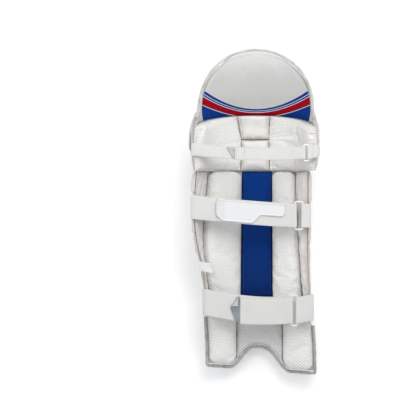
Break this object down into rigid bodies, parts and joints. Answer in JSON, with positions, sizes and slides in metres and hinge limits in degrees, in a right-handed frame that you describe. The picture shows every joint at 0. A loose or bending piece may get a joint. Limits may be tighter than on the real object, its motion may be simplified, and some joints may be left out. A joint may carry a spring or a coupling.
{
  "type": "batting pad",
  "caption": "Padded cricket leg guard lying face down, with a curved top flap, knee roll, ribbed shin, side wings, mesh inner bolsters and straps run through rings.",
  "frame": {"origin": "middle of the bounding box, on the floor under the pad's front", "axes": "+X to the right as seen from the leg side, +Y from the toe to the top flap, +Z from the floor to the leg side"},
  "size_m": [0.2936, 0.7348, 0.1696],
  "materials": {
    "white_leather": "soft coated leather, slightly glossy",
    "flap_print": "white coated leather with coloured stripes",
    "white_mesh": "woven spacer mesh",
    "blue_mesh": "woven spacer mesh",
    "webbing": "brushed webbing",
    "ring_plastic": "smooth moulded plastic",
    "white_rubber": "satin moulded rubber",
    "binding_grey": "folded edge binding",
    "hook_grey": "hook tape"
  },
  "bodies": {
    "root": {"ankle_hook_tab": "hook_grey", "ankle_ring": "ring_plastic", "ankle_strap": "webbing", "ankle_tether": "webbing", "calf_ring": "ring_plastic", "calf_strap": "webbing", "calf_strap_end": "white_rubber", "calf_tether": "webbing", "centre_strip": "blue_mesh", "flap_binding": "white_leather", "flap_bolster_left_lower": "white_leather", "flap_bolster_left_upper": "white_leather", "flap_bolster_right_lower": "white_leather", "flap_bolster_right_upper": "white_leather", "flap_lining": "flap_print", "flap_rib_centre": "white_leather", "flap_rib_left": "white_leather", "flap_rib_right": "white_leather", "foot_binding": "binding_grey", "foot_panel": "white_mesh", "knee_badge": "white_rubber", "knee_bolster_left": "white_mesh", "knee_bolster_right": "white_mesh", "knee_hook_tab": "hook_grey", "knee_pad_lower": "white_leather", "knee_pad_upper": "white_leather", "knee_ring": "ring_plastic", "knee_roll_lower": "white_leather", "knee_roll_middle": "white_leather", "knee_roll_upper": "white_leather", "knee_strap": "webbing", "knee_tether": "webbing", "shin_bolster_left": "white_mesh", "shin_bolster_right": "white_mesh", "shin_rib_centre": "white_leather", "shin_rib_left": "white_leather", "shin_rib_right": "white_leather", "side_rib_left": "white_leather", "side_rib_right": "white_leather", "size_label": "webbing", "wing_left_1": "white_leather", "wing_left_2": "white_leather", "wing_left_3": "white_leather", "wing_left_4": "white_leather", "wing_left_5": "white_leather", "wing_lining_left": "white_leather", "wing_lining_right": "white_leather", "wing_right_1": "white_leather", "wing_right_2": "white_leather", "wing_right_3": "white_leather"}
  },
  "joints": []
}
